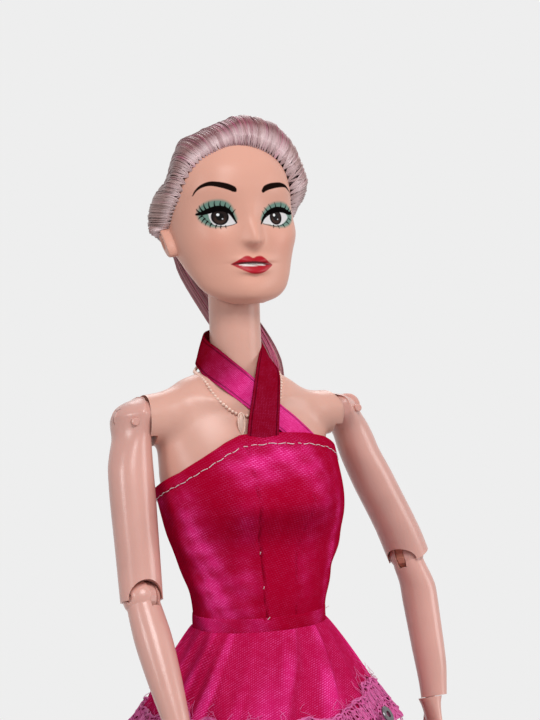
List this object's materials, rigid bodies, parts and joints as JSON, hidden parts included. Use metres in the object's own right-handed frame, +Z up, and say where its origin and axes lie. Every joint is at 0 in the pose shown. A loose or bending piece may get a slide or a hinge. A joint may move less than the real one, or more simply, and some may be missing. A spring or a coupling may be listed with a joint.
{
  "type": "jointed fashion doll",
  "caption": "Jointed fashion doll in a halter dress with a tiered skirt; neck, shoulders, elbows, wrists, hips and knees move.",
  "frame": {"origin": "the middle of the bounding box at the floor, under the doll's soles", "axes": "+Z up along the standing doll, -Y forwards out of its face, +X to its own left"},
  "size_m": [0.0852, 0.0732, 0.2962],
  "materials": {
    "body_skin": "smooth satin-sheen hard vinyl",
    "face_vinyl": "soft vinyl with painted face",
    "link_plastic": "moulded joint plastic",
    "rooted_hair": "rooted silver-blonde fibre with pink streaks",
    "elastic": "woven elastic",
    "red_satin": "shiny satin",
    "pink_lace": "open net lace",
    "hook_tape": "hook-and-loop tape",
    "metal": "plain steel",
    "shoe_plastic": "moulded, glossy"
  },
  "bodies": {
    "torso": {"back_closure": "hook_tape", "bodice": "red_satin", "halter_ribbon": "red_satin", "hip_bar": "metal", "lace_band": "pink_lace", "sequin_ring": "metal", "skirt_ruffle": "red_satin", "skirt_tier": "red_satin", "torso_back": "body_skin", "torso_front": "body_skin", "waistband": "red_satin"},
    "neck": {"neck_knob": "link_plastic"},
    "head": {"hair_cap": "rooted_hair", "hair_tie": "elastic", "head_shell": "face_vinyl", "ponytail": "rooted_hair"},
    "shoulder_body_right": {"shoulder_peg_right": "link_plastic"},
    "upper_arm_body_right": {"shoulder_pin_right": "metal", "upper_arm_right": "body_skin"},
    "elbow_body_right": {"elbow_link_right": "link_plastic"},
    "forearm_body_right": {"elbow_pin_right": "metal", "forearm_right": "body_skin"},
    "hand_body_right": {"hand_right": "body_skin"},
    "hip_body_right": {"hip_disc_right": "link_plastic"},
    "thigh_body_right": {"hip_pin_right": "metal", "thigh_right": "body_skin"},
    "knee_body_right": {"knee_link_right": "link_plastic"},
    "shin_body_right": {"knee_pin_right": "metal", "shin_right": "body_skin", "shoe_right": "shoe_plastic"},
    "shoulder_body_left": {"shoulder_peg_left": "link_plastic"},
    "upper_arm_body_left": {"shoulder_pin_left": "metal", "upper_arm_left": "body_skin"},
    "elbow_body_left": {"elbow_link_left": "link_plastic"},
    "forearm_body_left": {"elbow_pin_left": "metal", "forearm_left": "body_skin"},
    "hand_body_left": {"hand_left": "body_skin"},
    "hip_body_left": {"hip_disc_left": "link_plastic"},
    "thigh_body_left": {"hip_pin_left": "metal", "thigh_left": "body_skin"},
    "knee_body_left": {"knee_link_left": "link_plastic"},
    "shin_body_left": {"knee_pin_left": "metal", "shin_left": "body_skin", "shoe_left": "shoe_plastic"}
  },
  "joints": [
    {"name": "neck_turn", "type": "hinge", "parent": "torso", "child": "neck", "pos_m": [-0.00408, 0.00572, 0.2575], "axis": [0, 0, 1], "range_deg": [-80, 80], "deforming": ["ponytail"]},
    {"name": "head_nod", "type": "hinge", "parent": "neck", "child": "head", "pos_m": [-0.00408, 0.00572, 0.2575], "axis": [1, 0, 0], "range_deg": [-10, 14], "deforming": ["ponytail"]},
    {"name": "shoulder_swing_right", "type": "hinge", "parent": "torso", "child": "shoulder_body_right", "pos_m": [-0.03138, 0.00472, 0.229], "axis": [-1, 0, 0], "range_deg": [-60, 170], "deforming": ["skirt_tier", "skirt_ruffle", "lace_band", "sequin_ring"]},
    {"name": "shoulder_lift_right", "type": "hinge", "parent": "shoulder_body_right", "child": "upper_arm_body_right", "pos_m": [-0.03138, 0.00472, 0.229], "axis": [0, 1, 0], "range_deg": [-1, 34], "deforming": ["skirt_tier", "skirt_ruffle", "lace_band", "sequin_ring"]},
    {"name": "elbow_swivel_right", "type": "hinge", "parent": "upper_arm_body_right", "child": "elbow_body_right", "pos_m": [-0.03341, -0.00625, 0.19142], "axis": [-0.052, -0.2799, -0.9586], "range_deg": [-10, 90], "deforming": ["skirt_tier", "skirt_ruffle", "lace_band", "sequin_ring"]},
    {"name": "elbow_bend_right", "type": "hinge", "parent": "elbow_body_right", "child": "forearm_body_right", "pos_m": [-0.03341, -0.00625, 0.19142], "axis": [-0.9059, -0.3907, 0.1632], "range_deg": [-15, 75], "deforming": ["skirt_tier", "skirt_ruffle", "lace_band", "sequin_ring"]},
    {"name": "wrist_turn_right", "type": "hinge", "parent": "forearm_body_right", "child": "hand_body_right", "pos_m": [-0.03137, -0.02325, 0.16205], "axis": [0.06, -0.5, -0.864], "range_deg": [-90, 90], "deforming": ["skirt_tier", "skirt_ruffle", "lace_band", "sequin_ring"]},
    {"name": "hip_swing_right", "type": "hinge", "parent": "torso", "child": "hip_body_right", "pos_m": [-0.01578, -0.00078, 0.152], "axis": [-1, 0, 0], "range_deg": [-25, 60], "deforming": ["skirt_tier", "skirt_ruffle", "lace_band", "sequin_ring"]},
    {"name": "hip_spread_right", "type": "hinge", "parent": "hip_body_right", "child": "thigh_body_right", "pos_m": [-0.01578, -0.00078, 0.152], "axis": [0, 1, 0], "range_deg": [0, 30], "deforming": ["skirt_tier", "skirt_ruffle", "lace_band", "sequin_ring"]},
    {"name": "knee_swivel_right", "type": "hinge", "parent": "thigh_body_right", "child": "knee_body_right", "pos_m": [-0.01578, -0.00078, 0.083], "axis": [0, 0, -1], "range_deg": [-20, 35], "deforming": ["skirt_tier", "skirt_ruffle", "lace_band", "sequin_ring"]},
    {"name": "knee_bend_right", "type": "hinge", "parent": "knee_body_right", "child": "shin_body_right", "pos_m": [-0.01578, -0.00078, 0.083], "axis": [1, 0, 0], "range_deg": [0, 90], "deforming": ["skirt_tier", "skirt_ruffle", "lace_band", "sequin_ring"]},
    {"name": "shoulder_swing_left", "type": "hinge", "parent": "torso", "child": "shoulder_body_left", "pos_m": [0.02322, 0.00472, 0.229], "axis": [-1, 0, 0], "range_deg": [-60, 170], "deforming": ["skirt_tier", "skirt_ruffle", "lace_band", "sequin_ring"]},
    {"name": "shoulder_lift_left", "type": "hinge", "parent": "shoulder_body_left", "child": "upper_arm_body_left", "pos_m": [0.02322, 0.00472, 0.229], "axis": [0, -1, 0], "range_deg": [-14, 20], "deforming": ["skirt_tier", "skirt_ruffle", "lace_band", "sequin_ring"]},
    {"name": "elbow_swivel_left", "type": "hinge", "parent": "upper_arm_body_left", "child": "elbow_body_left", "pos_m": [0.03852, 0.0059, 0.19293], "axis": [-0.3901, -0.03, 0.9203], "range_deg": [-45, 75], "deforming": ["skirt_tier", "skirt_ruffle", "lace_band", "sequin_ring"]},
    {"name": "elbow_bend_left", "type": "hinge", "parent": "elbow_body_left", "child": "forearm_body_left", "pos_m": [0.03852, 0.0059, 0.19293], "axis": [-0.5794, 0.7848, -0.22], "range_deg": [-28, 60], "deforming": ["skirt_tier", "skirt_ruffle", "lace_band", "sequin_ring"]},
    {"name": "wrist_turn_left", "type": "hinge", "parent": "forearm_body_left", "child": "hand_body_left", "pos_m": [0.03852, -0.00328, 0.16019], "axis": [0, -0.27, -0.9629], "range_deg": [-90, 90], "deforming": ["skirt_tier", "skirt_ruffle", "lace_band", "sequin_ring"]},
    {"name": "hip_swing_left", "type": "hinge", "parent": "torso", "child": "hip_body_left", "pos_m": [0.00762, -0.00078, 0.152], "axis": [-1, 0, 0], "range_deg": [-25, 60], "deforming": ["skirt_tier", "skirt_ruffle", "lace_band", "sequin_ring"]},
    {"name": "hip_spread_left", "type": "hinge", "parent": "hip_body_left", "child": "thigh_body_left", "pos_m": [0.00762, -0.00078, 0.152], "axis": [0, -1, 0], "range_deg": [0, 30], "deforming": ["skirt_tier", "skirt_ruffle", "lace_band", "sequin_ring"]},
    {"name": "knee_swivel_left", "type": "hinge", "parent": "thigh_body_left", "child": "knee_body_left", "pos_m": [0.00762, -0.00078, 0.083], "axis": [0, 0, 1], "range_deg": [-20, 35], "deforming": ["skirt_tier", "skirt_ruffle", "lace_band", "sequin_ring"]},
    {"name": "knee_bend_left", "type": "hinge", "parent": "knee_body_left", "child": "shin_body_left", "pos_m": [0.00762, -0.00078, 0.083], "axis": [1, 0, 0], "range_deg": [0, 90], "deforming": ["skirt_tier", "skirt_ruffle", "lace_band", "sequin_ring"]}
  ]
}
